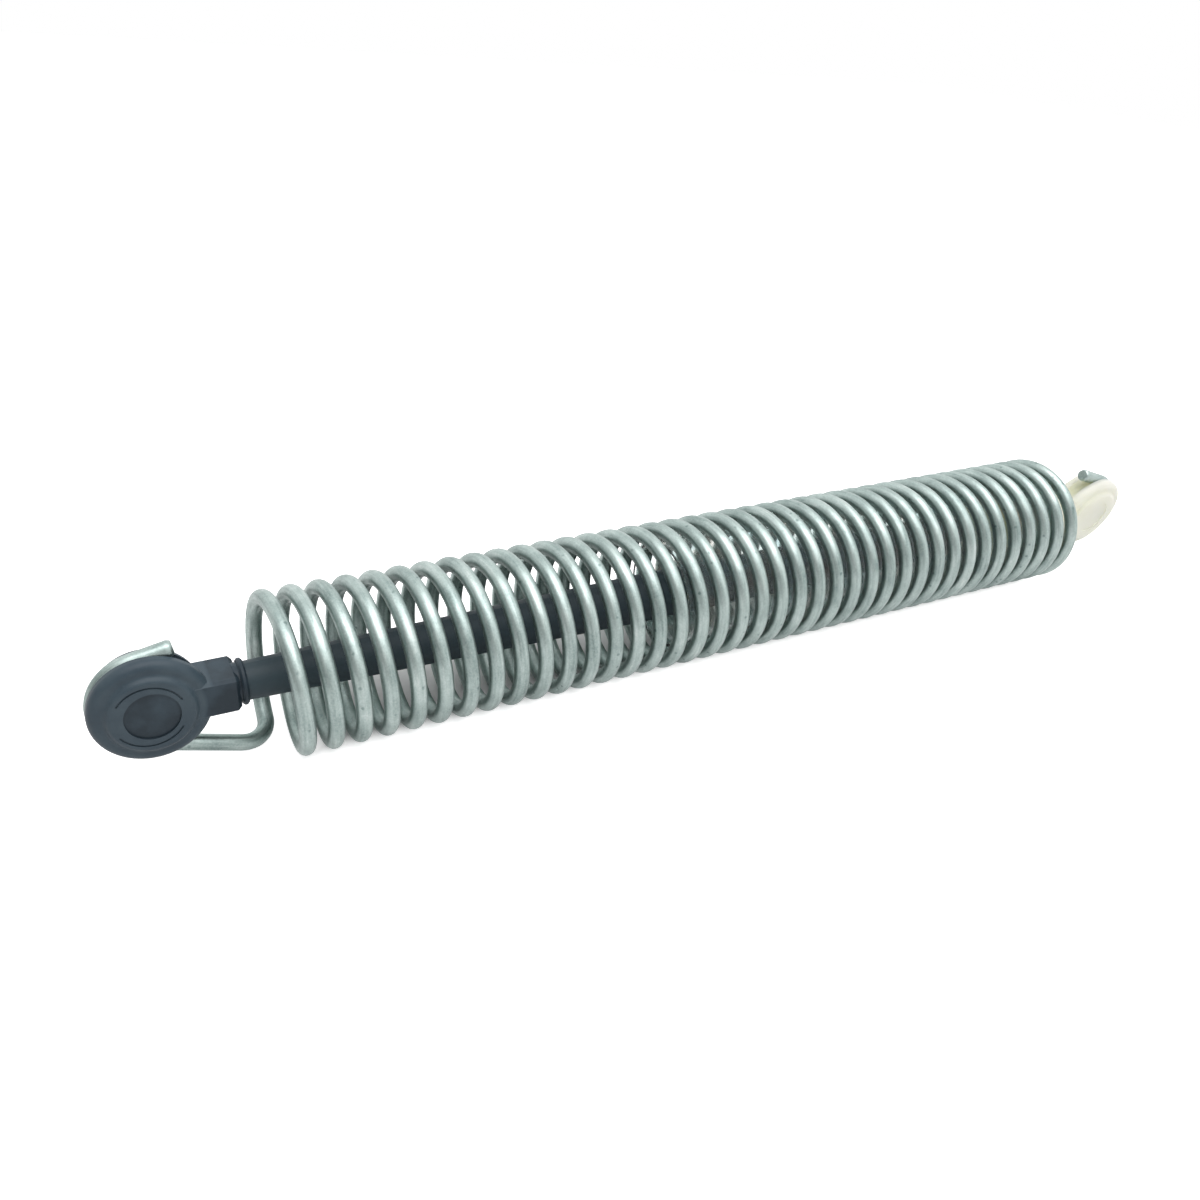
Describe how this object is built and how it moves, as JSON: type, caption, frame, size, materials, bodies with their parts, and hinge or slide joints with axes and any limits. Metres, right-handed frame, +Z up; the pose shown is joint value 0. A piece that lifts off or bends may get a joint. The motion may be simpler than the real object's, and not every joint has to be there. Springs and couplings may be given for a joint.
{
  "type": "trunk lid spring",
  "caption": "Open-wound steel tension spring with hooked ends in grooved plastic pivot bushes, and a rod that slides in a clear sleeve inside the coil; helps lift a trunk lid.",
  "frame": {"origin": "on the head's pin axis, in the middle of the hook's groove", "axes": "+X along the coil from the head to the far bush, +Y along the head's pin and out of its bore, +Z up, on the side of the hooks' free tails; the far bush is turned by 10 degrees about +X"},
  "size_m": [0.31, 0.0378, 0.0377],
  "materials": {
    "zinc_plated_wire": "satin zinc plating with a faint blue-green cast, drawing marks and small pits",
    "black_plastic": "satin moulded black",
    "rod_plastic": "satin moulded black",
    "clear_sleeve": "glossy translucent plastic, faintly brown",
    "natural_plastic": "satin natural cream plastic"
  },
  "bodies": {
    "head_side": {"pivot_head": "black_plastic", "guide_rod": "rod_plastic", "coil_spring": "zinc_plated_wire"},
    "far_side": {"end_bush": "natural_plastic", "guide_sleeve": "clear_sleeve"}
  },
  "joints": [
    {"name": "spring_stretch", "type": "slide", "parent": "head_side", "child": "far_side", "axis": [1, 0, 0], "range_m": [0, 0.08], "stiffness_N_per_m": 1200, "deforming": ["coil_spring"]}
  ]
}
